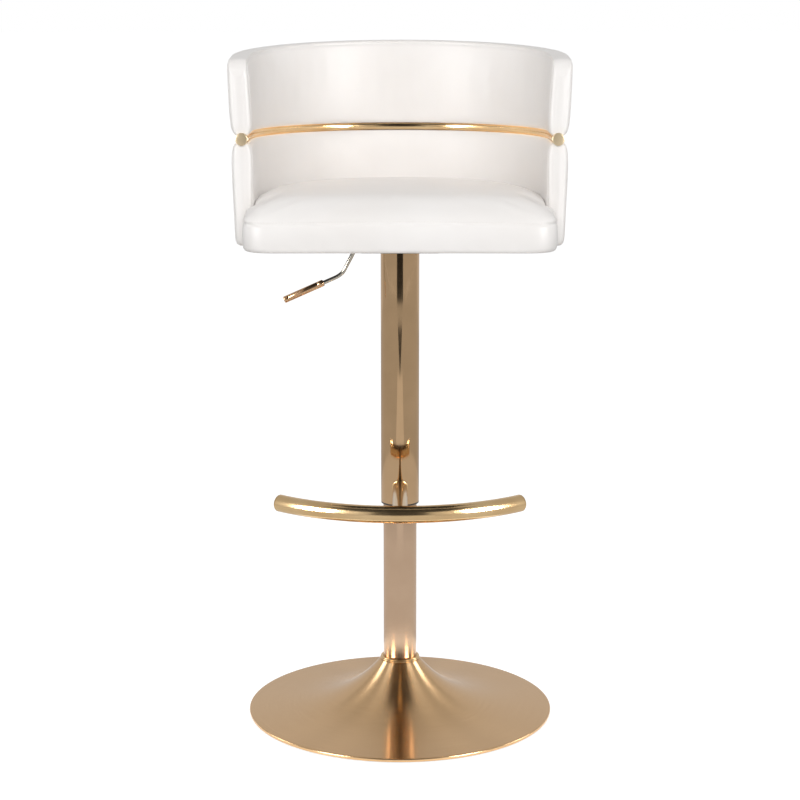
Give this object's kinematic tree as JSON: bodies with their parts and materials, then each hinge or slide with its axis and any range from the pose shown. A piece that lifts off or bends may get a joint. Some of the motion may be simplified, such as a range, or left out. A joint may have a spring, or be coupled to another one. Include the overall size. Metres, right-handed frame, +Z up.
{
  "type": "bar stool with footrest",
  "caption": "Swivelling gas-lift bar stool: padded barrel back in two bands round a rail, T-shaped footrest on a telescoping sleeve, round trumpet base.",
  "frame": {"origin": "on the floor, on the axis of the column", "axes": "+Z up along the column, -Y out of the front of the seat, +X to the right seen from the front"},
  "size_m": [0.4806, 0.46, 1.008],
  "materials": {
    "brushed_gold": "gold-toned steel, circular brushed satin",
    "polished_gold": "gold-toned plated steel, polished",
    "bright_steel": "bright plated rod",
    "plain_steel": "zinc-plated or ground, not seen in use",
    "black_steel": "black powder coat",
    "iron": "raw casting, painted black",
    "black_rubber": "matt",
    "black_plastic": "moulded, matt",
    "white_leather": "white faux leather, a coated cloth with fine grain and soft satin, over foam",
    "plywood": "raw birch plywood",
    "black_lining": "non-woven lining cloth"
  },
  "bodies": {
    "base": {"base_shell": "brushed_gold", "ballast_disc": "iron", "floor_ring": "black_rubber", "neck_ring": "polished_gold", "column_tube": "polished_gold", "column_flange": "plain_steel", "flange_bolts": "plain_steel", "column_floor": "plain_steel", "lower_race": "plain_steel", "bearing_balls": "plain_steel", "guide_bush": "black_plastic"},
    "rod": {"piston_rod": "plain_steel", "piston": "plain_steel", "upper_race": "plain_steel", "rubber_bumper": "black_rubber", "retaining_clip": "plain_steel"},
    "seat": {"gas_cylinder": "plain_steel", "rod_seal": "black_plastic", "valve_body": "plain_steel", "seat_plate": "black_steel", "lever_pin": "plain_steel", "seat_bolts": "plain_steel", "sleeve": "polished_gold", "sleeve_lip": "black_plastic", "footrest_stem": "polished_gold", "footrest_bar": "polished_gold", "footrest_caps": "polished_gold", "seat_board": "plywood", "seat_cushion": "white_leather", "dust_cover": "black_lining", "back_brackets": "black_steel", "bracket_screws": "plain_steel", "lower_back_board": "plywood", "upper_back_board": "plywood", "lower_back_pad": "white_leather", "upper_back_pad": "white_leather", "rail": "polished_gold", "rail_studs": "plain_steel", "rail_caps": "polished_gold"},
    "lever": {"lever_rod": "bright_steel", "lever_grip": "polished_gold"},
    "button": {"release_button": "plain_steel"}
  },
  "joints": [
    {"name": "swivel", "type": "hinge", "parent": "base", "child": "rod", "pos_m": [0, 0, 0], "axis": [0, 0, 1], "continuous": true},
    {"name": "lift", "type": "slide", "parent": "rod", "child": "seat", "axis": [0, 0, 1], "range_m": [-0.21, 0]},
    {"name": "lever_lift", "type": "hinge", "parent": "seat", "child": "lever", "pos_m": [-0.034, 0, 0.7232], "axis": [0, 1, 0], "range_deg": [0, 8]},
    {"name": "button_press", "type": "slide", "parent": "seat", "child": "button", "axis": [0, 0, -1], "range_m": [0, 0.0048], "stiffness_N_per_m": 4000, "springref_m": -0.003}
  ],
  "couplings": [
    {"joint": "button_press", "follows": "lever_lift", "m_per_rad": 0.034}
  ]
}
